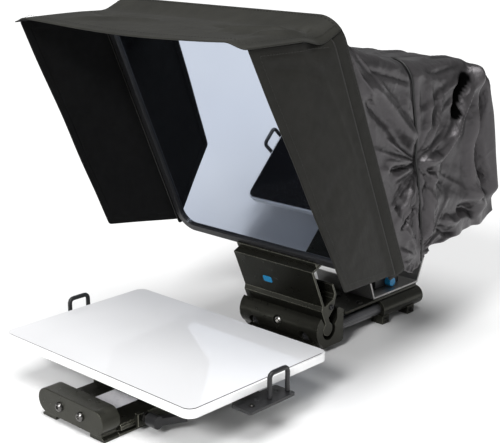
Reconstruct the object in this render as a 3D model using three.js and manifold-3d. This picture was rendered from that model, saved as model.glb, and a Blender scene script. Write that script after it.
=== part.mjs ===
// A tablet teleprompter: a rail with a sliding tablet tray, a tilting beamsplitter hood and a
// camera tray on two carbon rods. Millimetres, +Z up, the reader stands on the -Y side.
// Y = 0 in the design frame is the front edge of the tablet. The last group moves the origin to
// the middle of the footprint, on the resting plane.
import * as THREE from "three";
import { mergeVertices } from "three/addons/utils/BufferGeometryUtils.js";
import Module from "manifold-3d";

const wasm = await Module();
wasm.setup();

// ---- Driving dimensions -------------------------------------------------------------------
const GAP = 0.3; // between pieces that touch

const RAIL = { half: 53, top: 11, front: -2.7, rear: 322 };
const BLOCK = { half: 53, bottom: 3.5, top: 30.5, front: -26, rear: -3 };
const FOOT = { inner: 28, outer: 50, bottom: -2.5, top: 3.5 };
const END_SCREW_X = 17;

const BASE = { half: 63, bottom: 5.5, rear: 341 };
const PIVOT = { y: 312, z: 28, nose: 21, bead: 8.5 };
const SOCKET = { y: 314, z: 26, radius: 11.7 };
const ROD = { x: 41, z: 15, radius: 7.5, front: 331.4, rear: 522 };
const ROD_BOLT_Z = 18;

const LEAN = THREE.MathUtils.degToRad(23.3); // glass plane from the vertical
const GLASS_FOOT = { y: 291.1, z: 124.5 }; // lower edge of the glass
const FRAME = { half: 165, bottom: -8.7, top: 296, bar: 8.5, depth: 10, corner: 25 };
const BAND = { half: 168.5, wall: 2.5, bottom: -3, top: 304, front: -5, rear: 23 };
const FLAP = { hinge: 8, splay: THREE.MathUtils.degToRad(4), wall: 2.5, reach: 98, flare: 12 };
const VISOR = { hingeUp: 300, depth: 112, wall: 2.5 };

const TABLET = { half: 151, depth: 207, bottom: 47, top: 57, corner: 12 };
const TRAY = { front: 52, rear: 140 };
const CLAMP = { inner: 140, outer: 168, hoop: 160, front: 66, rear: 133, top: 38.5 };
const LEVER = { y: 24.5, z: 13, hub: 73 };

const CARRIAGE = { half: 54.5, bottom: 2.5, top: 27.5, front: 436, rear: 520 };
const PLATE = { half: 46, front: 366, rear: 518, bottom: 27.8, top: 30.8 };
const CAMERA_TRAY = { half: 45, floor: 31.1, wall: 3, front: 425, rear: 520 };
const QUICK = { half: 28, front: 450, rear: 500, bottom: 34.4, top: 46 };

const SHROUD_END = 512;

// The two ends of the object, which the origin is midway between.
const FRONT_END = BLOCK.front - GAP - 3;
const REAR_END = CAMERA_TRAY.rear + 14;

// ---- Solids -------------------------------------------------------------------------------
const X = new THREE.Vector3(1, 0, 0);
const Y = new THREE.Vector3(0, 1, 0);
const Z = new THREE.Vector3(0, 0, 1);

// An outline in the X-Y plane raised along Z.
function prismZ(shape, bottom, top, options = {}) {
  const geometry = new THREE.ExtrudeGeometry(shape, {
    depth: top - bottom,
    bevelEnabled: false,
    curveSegments: 6,
    ...options,
  });
  return geometry.translate(0, 0, bottom);
}

// An outline in the X-Z plane drawn out along Y.
function prismY(shape, front, rear, options = {}) {
  const turn = new THREE.Matrix4().makeBasis(X, Z, Y.clone().negate());
  return prismZ(shape, 0, rear - front, options).applyMatrix4(turn).translate(0, rear, 0);
}

// An outline in the Y-Z plane drawn out along X.
function prismX(shape, left, right, options = {}) {
  const turn = new THREE.Matrix4().makeBasis(Y, Z, X);
  return prismZ(shape, left, right, options).applyMatrix4(turn);
}

function box(x0, x1, y0, y1, z0, z1) {
  const geometry = new THREE.BoxGeometry(x1 - x0, y1 - y0, z1 - z0);
  return geometry.translate((x0 + x1) / 2, (y0 + y1) / 2, (z0 + z1) / 2);
}

// A cylinder from one centre to the other, which differ along one axis only.
function rod(radius, from, to, sides = 24) {
  const start = new THREE.Vector3(...from);
  const along = new THREE.Vector3(...to).sub(start);
  const geometry = new THREE.CylinderGeometry(radius, radius, along.length(), sides);
  geometry.translate(0, along.length() / 2, 0);
  const turn = new THREE.Quaternion().setFromUnitVectors(Y, along.clone().normalize());
  return geometry.applyQuaternion(turn).translate(start.x, start.y, start.z);
}

function solid(geometry) {
  const bare = geometry.clone();
  bare.deleteAttribute("normal");
  bare.deleteAttribute("uv");
  const merged = mergeVertices(bare, 1e-4);
  const mesh = new wasm.Mesh({
    numProp: 3,
    vertProperties: merged.attributes.position.array,
    triVerts: new Uint32Array(merged.index.array),
  });
  return new wasm.Manifold(mesh);
}

function surface(manifold) {
  const mesh = manifold.getMesh();
  const geometry = new THREE.BufferGeometry();
  geometry.setAttribute("position", new THREE.BufferAttribute(mesh.vertProperties, 3));
  geometry.setIndex(new THREE.BufferAttribute(mesh.triVerts, 1));
  return geometry;
}

function join(first, ...others) {
  return surface(others.reduce((sum, other) => sum.add(solid(other)), solid(first)));
}

function cut(body, ...tools) {
  return surface(tools.reduce((rest, tool) => rest.subtract(solid(tool)), solid(body)));
}

function polygon(points) {
  return new THREE.Shape(points.map(([a, b]) => new THREE.Vector2(a, b)));
}

// The points on one side of an outline, followed by their mirror images.
function mirrored(points) {
  return polygon([...points, ...points.map(([a, b]) => [-a, b]).reverse()]);
}

function roundedRectangle(a0, a1, b0, b1, radius) {
  const shape = new THREE.Shape();
  shape.moveTo(a0 + radius, b0);
  shape.lineTo(a1 - radius, b0);
  shape.absarc(a1 - radius, b0 + radius, radius, -Math.PI / 2, 0, false);
  shape.lineTo(a1, b1 - radius);
  shape.absarc(a1 - radius, b1 - radius, radius, 0, Math.PI / 2, false);
  shape.lineTo(a0 + radius, b1);
  shape.absarc(a0 + radius, b1 - radius, radius, Math.PI / 2, Math.PI, false);
  shape.lineTo(a0, b0 + radius);
  shape.absarc(a0 + radius, b0 + radius, radius, Math.PI, Math.PI * 1.5, false);
  return shape;
}

// A button-head screw with a hexagon socket, its head's face at the origin, pointing along +Z.
function buttonScrew(headRadius, headHeight, shankRadius, shankLength) {
  const profile = [
    [0, -headHeight - shankLength],
    [shankRadius, -headHeight - shankLength],
    [shankRadius, -headHeight],
    [headRadius, -headHeight],
    [headRadius * 0.93, -headHeight * 0.45],
    [headRadius * 0.66, 0],
    [0, 0],
  ].map(([radius, height]) => new THREE.Vector2(radius, height));
  const turned = new THREE.LatheGeometry(profile, 20).rotateX(Math.PI / 2);
  const socket = new THREE.CylinderGeometry(headRadius * 0.42, headRadius * 0.42, headHeight, 6);
  socket.rotateX(Math.PI / 2).translate(0, 0, -headHeight * 0.1);
  return cut(turned, socket);
}

function facing(geometry, direction, at) {
  const turn = new THREE.Quaternion().setFromUnitVectors(Z, new THREE.Vector3(...direction));
  return geometry.applyQuaternion(turn).translate(...at);
}

// ---- Materials ----------------------------------------------------------------------------
const FINISHES = {
  anodised: [0x3a3933, 0.42, 0.85],
  blackPlastic: [0x131313, 0.5, 0],
  fabric: [0x33302e, 0.9, 0],
  nylon: [0x454243, 0.55, 0],
  glass: [0xb9c4d8, 0.05, 0],
  tabletShell: [0xe6e6e8, 0.35, 0.1],
  tabletScreen: [0x050506, 0.05, 0],
  carbon: [0x2f2f33, 0.35, 0.2],
  steel: [0xa9a9a5, 0.3, 1],
  blue: [0x1a93cf, 0.45, 0],
  label: [0xe9e6ea, 0.7, 0],
};

function finish(name) {
  const [color, roughness, metalness] = FINISHES[name];
  return new THREE.MeshStandardMaterial({ color, roughness, metalness });
}

const teleprompter = new THREE.Group();
const hood = new THREE.Group(); // local Z runs up the glass, local Y away from the reader
hood.position.set(0, GLASS_FOOT.y, GLASS_FOOT.z);
hood.rotation.x = LEAN;
teleprompter.add(hood);

function add(name, finishName, geometry, parent = teleprompter) {
  const mesh = new THREE.Mesh(geometry, finish(finishName));
  mesh.name = name;
  parent.add(mesh);
  return mesh;
}

const SIDES = [
  ["left", -1],
  ["right", 1],
];

// ---- Rail and front end block -------------------------------------------------------------
function railSection() {
  return mirrored([
    [FOOT.inner, FOOT.top],
    [FOOT.inner, FOOT.bottom],
    [FOOT.outer, FOOT.bottom],
    [FOOT.outer, FOOT.bottom + 2.2],
    [FOOT.outer - 4, FOOT.top - 1.4],
    [FOOT.outer - 4, FOOT.top],
    [RAIL.half, FOOT.top + 1.6],
    [RAIL.half, RAIL.top - 2],
    [RAIL.half - 2, RAIL.top],
  ]);
}
add("rail", "anodised", prismY(railSection(), RAIL.front, RAIL.rear));

function endBlock() {
  const { half, bottom, top } = BLOCK;
  const radius = (top - bottom) / 2;
  const face = roundedRectangle(1 - half, half - 1, bottom + 1, top - 1, radius - 1.01);
  const bevel = { bevelEnabled: true, bevelThickness: 1, bevelSize: 1, bevelSegments: 2 };
  const body = prismY(face, BLOCK.front + 1, BLOCK.rear - 1, bevel);
  const feet = SIDES.map(([, side]) => {
    const section = polygon([
      [side * FOOT.inner, BLOCK.bottom + 4],
      [side * FOOT.inner, FOOT.bottom],
      [side * FOOT.outer, FOOT.bottom],
      [side * FOOT.outer, FOOT.bottom + 2.2],
      [side * (FOOT.outer - 4), FOOT.top - 1.4],
      [side * (FOOT.outer - 4), BLOCK.bottom + 4],
    ]);
    return prismY(section, BLOCK.front + 3, BLOCK.rear - 0.2);
  });
  const holes = SIDES.map(([, side]) => {
    const x = side * END_SCREW_X;
    const z = (BLOCK.bottom + BLOCK.top) / 2;
    return rod(3.3, [x, BLOCK.front - 1, z], [x, BLOCK.front + 13, z]);
  });
  return cut(join(body, ...feet), ...holes);
}
add("front_end_block", "anodised", endBlock());

for (const [side, sign] of SIDES) {
  const at = [sign * END_SCREW_X, FRONT_END, (BLOCK.bottom + BLOCK.top) / 2];
  add(`end_screw_${side}`, "steel", facing(buttonScrew(5.2, 3, 3, 11), [0, -1, 0], at));
}
add("rail_label", "label", box(-19, 19, 2, 50, RAIL.top + 0.05, RAIL.top + 0.25));

// ---- Hinge base, its screws and the rods --------------------------------------------------
function arcPoints(centre, radius, fromDegrees, toDegrees, count) {
  return Array.from({ length: count + 1 }, (_, i) => {
    const angle = THREE.MathUtils.degToRad(fromDegrees + ((toDegrees - fromDegrees) * i) / count);
    return [centre.y + radius * Math.cos(angle), centre.z + radius * Math.sin(angle)];
  });
}

function hingeBase() {
  const outline = polygon([
    [304, BASE.bottom],
    [BASE.rear - 3, BASE.bottom],
    [BASE.rear, BASE.bottom + 3],
    [BASE.rear, 46],
    [332, 51],
    [329, 50],
    [329, 37],
    ...arcPoints(SOCKET, SOCKET.radius, 25, -224, 20),
    ...arcPoints(PIVOT, PIVOT.nose, 128, 236, 14),
  ]);
  const railSlot = box(-RAIL.half - GAP, RAIL.half + GAP, 280, RAIL.rear + GAP, -1, RAIL.top + GAP);
  const bores = SIDES.flatMap(([, side]) => [
    rod(ROD.radius + GAP, [side * ROD.x, ROD.front - GAP, ROD.z], [side * ROD.x, 350, ROD.z]),
    rod(7, [side * ROD.x, 280, ROD_BOLT_Z], [side * ROD.x, 298.4, ROD_BOLT_Z]),
    rod(2.8, [side * ROD.x, 280, ROD_BOLT_Z], [side * ROD.x, 301.4, ROD_BOLT_Z]),
  ]);
  const lockSeat = rod(6.5, [0, 280, PIVOT.z + 1], [0, 294.5, PIVOT.z + 1]);
  const lockHole = rod(3.3, [0, 280, PIVOT.z + 1], [0, 303, PIVOT.z + 1]);
  return cut(prismX(outline, -BASE.half, BASE.half), railSlot, lockSeat, lockHole, ...bores);
}
add("hinge_base", "anodised", hingeBase());
const lockScrew = facing(buttonScrew(5.2, 3.2, 3, 8), [0, -1, 0], [0, 291, PIVOT.z + 1]);
add("tilt_lock_screw", "steel", lockScrew);

for (const [side, sign] of SIDES) {
  const x = sign * ROD.x;
  const bolt = facing(buttonScrew(5.6, 2.4, 2.4, 2), [0, -1, 0], [x, 295.7, ROD_BOLT_Z]);
  add(`rod_bolt_${side}`, "blackPlastic", bolt);
  add(`rod_${side}`, "carbon", rod(ROD.radius, [x, ROD.front, ROD.z], [x, ROD.rear, ROD.z], 32));
}

// ---- Tilting glass holder -----------------------------------------------------------------
function glassHolder() {
  const pivotY = (PIVOT.y - GLASS_FOOT.y) * Math.cos(LEAN) + (PIVOT.z - GLASS_FOOT.z) * Math.sin(LEAN);
  const pivotZ = -(PIVOT.y - GLASS_FOOT.y) * Math.sin(LEAN) + (PIVOT.z - GLASS_FOOT.z) * Math.cos(LEAN);
  const bead = Array.from({ length: 15 }, (_, i) => {
    const angle = THREE.MathUtils.degToRad(100 + (300 * i) / 14);
    return [pivotY + PIVOT.bead * Math.cos(angle), pivotZ + PIVOT.bead * Math.sin(angle)];
  });
  const outline = polygon([
    [-17, -12.3],
    [-17, -64],
    [pivotY - 1.5, -69],
    ...bead,
    [pivotY + 6.5, -84],
    [-2, -80],
    [10.7, -66],
    [10.7, -49],
    [7.7, -49],
    [7.7, -63],
    [4, -67],
    [-13.5, -67],
    [-13.5, -15.3],
    [6, -15.3],
    [6, -12.3],
  ]);
  return prismX(outline, -BASE.half, BASE.half);
}
add("glass_holder", "anodised", glassHolder(), hood);

for (const [side, sign] of SIDES) {
  const at = [sign * (BASE.half + GAP + 1.8), -3.9, -74.4];
  const screw = facing(buttonScrew(3.6, 1.8, 0.5, 0.1), [sign, 0, 0], at);
  add(`holder_screw_${side}`, "blackPlastic", screw, hood);
}

function frameChannel() {
  const outline = mirrored([
    [8, -12],
    [8, -5.5],
    [5.3, -5.5],
    [5.3, -9],
  ]);
  return prismX(outline, -BASE.half, BASE.half);
}
add("frame_channel", "anodised", frameChannel(), hood);
add("badge", "blue", prismY(roundedRectangle(-24, -10, -48, -39, 2.5), -17.65, -17.05), hood);

// ---- Glass and its frame ------------------------------------------------------------------
function frameRing() {
  const { half, bottom, top, bar, depth, corner } = FRAME;
  const outer = prismY(roundedRectangle(-half, half, bottom, top, corner), -depth / 2, depth / 2);
  const opening = roundedRectangle(-half + bar, half - bar, bottom + bar, top - bar, corner - bar);
  return cut(outer, prismY(opening, -depth, depth));
}
add("glass_frame", "blackPlastic", frameRing(), hood);

function beamsplitter() {
  const inset = FRAME.bar + GAP;
  const { half, bottom, top, corner } = FRAME;
  const pane = roundedRectangle(-half + inset, half - inset, bottom + inset, top - inset, corner - inset);
  return prismY(pane, -1.5, 1.5);
}
add("beamsplitter_glass", "glass", beamsplitter(), hood);

// ---- Hood fabric --------------------------------------------------------------------------
// An arch that is open below: two sides and a top with round corners.
function archShape(half, bottom, top, wall, corner) {
  const shape = new THREE.Shape();
  shape.moveTo(half, bottom);
  shape.lineTo(half, top - corner);
  shape.absarc(half - corner, top - corner, corner, 0, Math.PI / 2, false);
  shape.lineTo(corner - half, top);
  shape.absarc(corner - half, top - corner, corner, Math.PI / 2, Math.PI, false);
  shape.lineTo(-half, bottom);
  shape.lineTo(wall - half, bottom);
  shape.lineTo(wall - half, top - corner);
  shape.absarc(corner - half, top - corner, corner - wall, Math.PI, Math.PI / 2, true);
  shape.lineTo(half - corner, top - wall);
  shape.absarc(half - corner, top - corner, corner - wall, Math.PI / 2, 0, true);
  shape.lineTo(half - wall, bottom);
  return shape;
}

function hoodBand() {
  const arch = archShape(BAND.half, BAND.bottom, BAND.top, BAND.wall, FRAME.corner);
  return prismY(arch, BAND.front, BAND.rear);
}
add("hood_band", "fabric", hoodBand(), hood);

// The shroud's upper and lower edges, front to rear, in the design frame: [y, z].
const SHROUD_TOP = [
  [193, 411.4],
  [222, 392],
  [262, 379],
  [320, 368],
  [385, 358],
  [440, 350],
  [470, 333],
  [496, 296],
];
const SHROUD_BOTTOM = [
  [318, 124.5],
  [324, 124.5],
  [332, 125],
  [348, 129],
  [385, 139],
  [440, 139],
  [482, 148],
  [SHROUD_END, 172],
];
const SHROUD_HALF = [168.5, 168.5, 168, 167, 165, 162, 159, 155];

function rearShroud() {
  const steps = SHROUD_TOP.length - 1;
  const arch = archShape(1000, 0, 1000, 16, 100);
  const geometry = prismY(arch, 0, steps, { steps });
  const position = geometry.getAttribute("position");
  for (let i = 0; i < position.count; i += 1) {
    const station = Math.round(position.getY(i));
    const height = position.getZ(i) / 1000;
    const [topY, topZ] = SHROUD_TOP[station];
    const [bottomY, bottomZ] = SHROUD_BOTTOM[station];
    const x = (position.getX(i) / 1000) * SHROUD_HALF[station];
    const y = bottomY + (topY - bottomY) * height;
    position.setXYZ(i, x, y, bottomZ + (topZ - bottomZ) * height);
  }
  return geometry;
}
add("rear_shroud", "nylon", rearShroud());

// A side flap about its own hinge, which runs up the frame's edge. Its lower front corner flares out.
function sideFlap(sign) {
  const rise = Math.tan(LEAN);
  const topCorner = VISOR.hingeUp - 2.8;
  const outline = polygon([
    [-GAP, 5],
    [-86, 55],
    [-FLAP.reach, topCorner + FLAP.reach * rise * Math.cos(FLAP.splay)],
    [-GAP, topCorner],
  ]);
  const geometry = prismX(outline, -FLAP.wall / 2, FLAP.wall / 2);
  const position = geometry.getAttribute("position");
  for (let i = 0; i < position.count; i += 1) {
    const lowFront = position.getY(i) < -GAP - 1 && position.getZ(i) < 60;
    position.setX(i, position.getX(i) + (lowFront ? sign * FLAP.flare : 0));
  }
  return geometry;
}
for (const [side, sign] of SIDES) {
  const flap = add(`front_flap_${side}`, "fabric", sideFlap(sign), hood);
  flap.position.set(sign * (BAND.half - FLAP.wall / 2), -FLAP.hinge, 0);
  flap.rotation.z = sign * FLAP.splay;
}

function topVisor() {
  const rear = BAND.half;
  const front = BAND.half + 8;
  const outline = polygon([
    [rear, -GAP],
    [-rear, -GAP],
    [-front, -VISOR.depth],
    [front, -VISOR.depth],
  ]);
  return prismZ(outline, -VISOR.wall / 2, VISOR.wall / 2);
}
const visor = add("top_visor", "fabric", topVisor(), hood);
visor.position.set(0, -FLAP.hinge, VISOR.hingeUp);
visor.rotation.x = -LEAN;

// ---- Tablet tray --------------------------------------------------------------------------
function trayCarriage() {
  const cheek = RAIL.half + GAP;
  const section = mirrored([
    [cheek, RAIL.top + GAP],
    [cheek, 4],
    [cheek + 5, 4],
    [cheek + 5, 18],
  ]);
  const slide = prismY(section, TRAY.front, TRAY.rear);
  const lug = box(cheek, cheek + 5, LEVER.y - 9, TRAY.front + 1, 4, 18);
  return join(slide, lug);
}
add("tray_carriage", "anodised", trayCarriage());
add("tray_riser", "anodised", box(-40, 40, 60, 136, 18.3, 28.7));

function crossBar() {
  const bar = box(-134, 134, 84, 113, 29, 33.7);
  const slots = SIDES.map(([, side]) => {
    const ends = [side * 75, side * 120].sort((a, b) => a - b);
    return prismZ(roundedRectangle(...ends, 95, 102, 3.49), 20, 40);
  });
  return cut(bar, ...slots);
}
add("tray_cross_bar", "anodised", crossBar());

function restPlate() {
  const plate = prismZ(roundedRectangle(-95, 95, 35, 165, 10), 42.5, TABLET.bottom - GAP);
  return join(plate, box(-38, 38, 62, 80, 29, 44), box(-38, 38, 117, 134, 29, 44));
}
add("tablet_rest_plate", "anodised", restPlate());

function tabletSlab(inset, bottom, top) {
  const { half, depth, corner } = TABLET;
  const outline = roundedRectangle(inset - half, half - inset, inset, depth - inset, corner - inset);
  return prismZ(outline, bottom, top);
}
add("tablet_body", "tabletShell", tabletSlab(0, TABLET.bottom, TABLET.top - 1));
add("tablet_screen", "tabletScreen", tabletSlab(2, TABLET.top - 0.7, TABLET.top));

// ---- Lock lever on the tray ---------------------------------------------------------------
function leverStud() {
  const seat = RAIL.half + GAP + 5 + GAP;
  return join(
    rod(6, [seat, LEVER.y, LEVER.z], [seat + 4, LEVER.y, LEVER.z]),
    rod(4, [seat + 3, LEVER.y, LEVER.z], [LEVER.hub - 7 - GAP, LEVER.y, LEVER.z]),
  );
}
add("lever_stud", "steel", leverStud());

function lockLever() {
  const hub = rod(7, [LEVER.hub - 7, LEVER.y, LEVER.z], [LEVER.hub + 7, LEVER.y, LEVER.z]);
  const arm = prismZ(
    polygon([
      [LEVER.hub - 4, LEVER.y],
      [LEVER.hub + 6, LEVER.y],
      [LEVER.hub + 20, LEVER.y + 27],
      [LEVER.hub + 17, LEVER.y + 30],
      [LEVER.hub + 12, LEVER.y + 29],
    ]),
    LEVER.z - 4,
    LEVER.z + 4,
  );
  return join(hub, arm);
}
add("lock_lever", "blackPlastic", lockLever());

// ---- Tablet edge clamps -------------------------------------------------------------------
function clampPlate(sign) {
  const across = (a, b) => [sign * a, sign * b].sort((low, high) => low - high);
  const padEdges = across(CLAMP.inner, CLAMP.outer);
  const pad = prismZ(roundedRectangle(...padEdges, CLAMP.front, CLAMP.rear, 3), CLAMP.top - 3, CLAMP.top);
  const tongue = box(...across(70, CLAMP.inner + 2), 88, 109, CLAMP.top - 3, CLAMP.top);
  const holes = [92, 122].map((y) => rod(2.6, [sign * 151, y, 20], [sign * 151, y, 50], 16));
  const slot = prismZ(roundedRectangle(...across(78, 128), 95.5, 101.5, 2.99), 20, 50);
  return cut(join(pad, tongue), ...holes, slot);
}

function clampHoop(sign) {
  const x = sign * CLAMP.hoop;
  const foot = CLAMP.top + GAP;
  const crown = 66;
  const bend = 6;
  const [front, rear] = [102, 129];
  const point = (y, z) => new THREE.Vector3(x, y, z);
  const path = new THREE.CurvePath();
  path.add(new THREE.LineCurve3(point(front, foot), point(front, crown - bend)));
  path.add(new THREE.QuadraticBezierCurve3(
    point(front, crown - bend), point(front, crown), point(front + bend, crown)));
  path.add(new THREE.LineCurve3(point(front + bend, crown), point(rear - bend, crown)));
  path.add(new THREE.QuadraticBezierCurve3(
    point(rear - bend, crown), point(rear, crown), point(rear, crown - bend)));
  path.add(new THREE.LineCurve3(point(rear, crown - bend), point(rear, foot)));
  const section = new THREE.Shape().absarc(0, 0, 2.7, 0, Math.PI * 2, false);
  return new THREE.ExtrudeGeometry(section, { steps: 30, curveSegments: 5, extrudePath: path });
}

for (const [side, sign] of SIDES) {
  add(`clamp_plate_${side}`, "blackPlastic", clampPlate(sign));
  add(`clamp_hoop_${side}`, "blackPlastic", clampHoop(sign));
  const at = [sign * 158, 78, CLAMP.top + GAP + 1.8];
  add(`clamp_screw_${side}`, "steel", facing(buttonScrew(3.2, 1.8, 0.5, 0.1), [0, 0, 1], at));
}

// ---- Rear carriage on the rods ------------------------------------------------------------
const CLAMP_LUG = { outer: 54, front: CARRIAGE.front + 4, rear: CARRIAGE.rear - 26 };

function rodClamp() {
  const { half, bottom, top, front, rear } = CARRIAGE;
  const body = prismY(roundedRectangle(-half, half, bottom, top, (top - bottom) / 2 - 0.01), front, rear);
  const lugs = SIDES.flatMap(([, side]) => {
    const edges = [side * 36, side * CLAMP_LUG.outer].sort((a, b) => a - b);
    const places = [CLAMP_LUG.front, CLAMP_LUG.rear];
    return places.map((y) => box(...edges, y - 7, y + 7, FOOT.bottom, 8));
  });
  const cuts = SIDES.flatMap(([, side]) => {
    const edges = [side * (ROD.x + 0.6), side * (ROD.x + 1.8)].sort((a, b) => a - b);
    return [
      rod(ROD.radius + GAP, [side * ROD.x, front - 5, ROD.z], [side * ROD.x, rear + 5, ROD.z], 32),
      box(...edges, front - 5, rear + 5, FOOT.bottom - 1, 8),
    ];
  });
  return cut(join(body, ...lugs), ...cuts);
}
add("rod_clamp", "anodised", rodClamp());

for (const [side, sign] of SIDES) {
  for (const place of ["front", "rear"]) {
    const at = [sign * (CLAMP_LUG.outer + GAP + 2), CLAMP_LUG[place], 2.2];
    const screw = facing(buttonScrew(3.2, 2, 0.5, 0.1), [sign, 0, 0], at);
    add(`rod_clamp_screw_${place}_${side}`, "steel", screw);
  }
}

const PLATE_SCREWS = [
  ["left", -38],
  ["middle", 2],
  ["right", 38],
];
const PLATE_SCREW_Y = 404;

function basePlate() {
  const outline = roundedRectangle(-PLATE.half, PLATE.half, PLATE.front, PLATE.rear, 4);
  const plate = prismZ(outline, PLATE.bottom, PLATE.top);
  const holes = PLATE_SCREWS.map(([, x]) => rod(2.6, [x, PLATE_SCREW_Y, 20], [x, PLATE_SCREW_Y, 40], 16));
  return cut(plate, ...holes);
}
add("camera_base_plate", "anodised", basePlate());
for (const [place, x] of PLATE_SCREWS) {
  const at = [x, PLATE_SCREW_Y, PLATE.top + GAP + 2.4];
  add(`plate_screw_${place}`, "steel", facing(buttonScrew(4.4, 2.4, 2.2, 4), [0, 0, 1], at));
}

function cameraTray() {
  const { half, floor, wall, front, rear } = CAMERA_TRAY;
  const outline = polygon([
    [front - 9, floor + 24],
    [front, floor],
    [rear, floor],
    [REAR_END, floor + 32],
    [REAR_END - 3, floor + 32],
    [rear - 2, floor + wall],
    [front + 2, floor + wall],
    [front - 6, floor + 24],
  ]);
  return prismX(outline, -half, half);
}
add("camera_tray", "anodised", cameraTray());

function quickBase() {
  const { half, front, rear, bottom, top } = QUICK;
  const section = mirrored([
    [half, bottom],
    [half, top],
    [half - 7, top],
    [half - 4, bottom + 5],
  ]);
  return cut(
    prismY(section, front, rear),
    rod(3.5, [half - 12, 475, bottom + 5.5], [half + 5, 475, bottom + 5.5]),
  );
}
add("quick_release_base", "blackPlastic", quickBase());

function releaseKnob() {
  const start = QUICK.half + GAP;
  const knob = rod(6, [start, 475, QUICK.bottom + 6.5], [start + 9, 475, QUICK.bottom + 6.5], 12);
  const lever = box(start + 3, start + 8, 473, 477, QUICK.bottom + 6.5, QUICK.bottom + 18);
  return join(knob, lever);
}
add("release_knob", "blue", releaseKnob());

function quickPlate() {
  const { half, front, rear, bottom, top } = QUICK;
  const gap = GAP * 1.2;
  const section = mirrored([
    [half - 4.4 - gap, bottom + 5 + GAP],
    [half - 7.4 - gap, top + 2],
  ]);
  const hole = rod(3.6, [0, 475, bottom], [0, 475, top + 10]);
  const recess = rod(9, [0, 475, bottom], [0, 475, bottom + 9]);
  return cut(prismY(section, front + 2, rear - 2), hole, recess);
}
add("quick_release_plate", "blackPlastic", quickPlate());

function cameraScrew() {
  const head = rod(8, [0, 475, QUICK.bottom + 5.6], [0, 475, QUICK.bottom + 8.5], 20);
  return join(head, rod(3.1, [0, 475, QUICK.bottom + 8], [0, 475, QUICK.top + 8], 16));
}
add("camera_screw", "steel", cameraScrew());

// ---- Origin -------------------------------------------------------------------------------
teleprompter.position.y = -(FRONT_END + REAR_END) / 2;
teleprompter.position.z = -FOOT.bottom;
const placed = new THREE.Group();
placed.add(teleprompter);

export default placed;
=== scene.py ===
import math

import bpy
import numpy as np
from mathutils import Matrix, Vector, noise


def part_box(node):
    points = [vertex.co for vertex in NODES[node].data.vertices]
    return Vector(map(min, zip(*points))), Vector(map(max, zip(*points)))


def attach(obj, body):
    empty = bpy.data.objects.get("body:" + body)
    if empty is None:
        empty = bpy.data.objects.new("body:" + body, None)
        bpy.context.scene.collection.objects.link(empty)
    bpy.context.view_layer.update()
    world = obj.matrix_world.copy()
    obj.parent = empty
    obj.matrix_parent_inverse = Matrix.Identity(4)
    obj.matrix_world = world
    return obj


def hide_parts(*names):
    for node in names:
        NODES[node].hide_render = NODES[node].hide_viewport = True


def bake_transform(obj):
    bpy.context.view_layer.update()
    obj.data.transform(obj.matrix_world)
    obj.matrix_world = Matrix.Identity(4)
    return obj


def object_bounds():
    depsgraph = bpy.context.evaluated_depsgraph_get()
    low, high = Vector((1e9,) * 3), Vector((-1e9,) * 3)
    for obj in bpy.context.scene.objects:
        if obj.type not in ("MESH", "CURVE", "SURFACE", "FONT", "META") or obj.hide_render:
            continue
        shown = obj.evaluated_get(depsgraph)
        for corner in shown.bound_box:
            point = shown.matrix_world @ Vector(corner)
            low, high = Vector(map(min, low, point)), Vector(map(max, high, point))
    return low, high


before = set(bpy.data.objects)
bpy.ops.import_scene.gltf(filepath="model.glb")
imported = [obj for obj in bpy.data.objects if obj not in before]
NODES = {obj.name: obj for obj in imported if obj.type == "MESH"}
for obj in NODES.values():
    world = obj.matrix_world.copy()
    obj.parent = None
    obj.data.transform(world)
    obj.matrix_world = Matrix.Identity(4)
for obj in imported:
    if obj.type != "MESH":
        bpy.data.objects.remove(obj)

cad_box = [list(corner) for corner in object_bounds()]
MM = 0.001

# ---- Camera -------------------------------------------------------------------------------
AZIMUTH, ELEVATION = math.radians(43.3), math.radians(15.88)
CAMERA_FROM_TABLET = Vector((0.8664, -0.6763, 0.4661))  # from the middle of the tablet's front edge
LENS = 81.96


def make_camera():
    tablet_edge = Vector((0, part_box("tablet_body")[0].y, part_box("tablet_screen")[1].z))
    camera = bpy.data.objects.new("camera", bpy.data.cameras.new("camera"))
    camera.data.lens = LENS
    camera.data.sensor_width = 36
    camera.location = tablet_edge + CAMERA_FROM_TABLET
    flat = math.cos(ELEVATION)
    forward = Vector((-math.sin(AZIMUTH) * flat, math.cos(AZIMUTH) * flat, -math.sin(ELEVATION)))
    camera.rotation_mode = "QUATERNION"
    camera.rotation_quaternion = forward.to_track_quat("-Z", "Y")
    bpy.context.collection.objects.link(camera)
    bpy.context.scene.camera = camera


make_camera()


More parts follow.
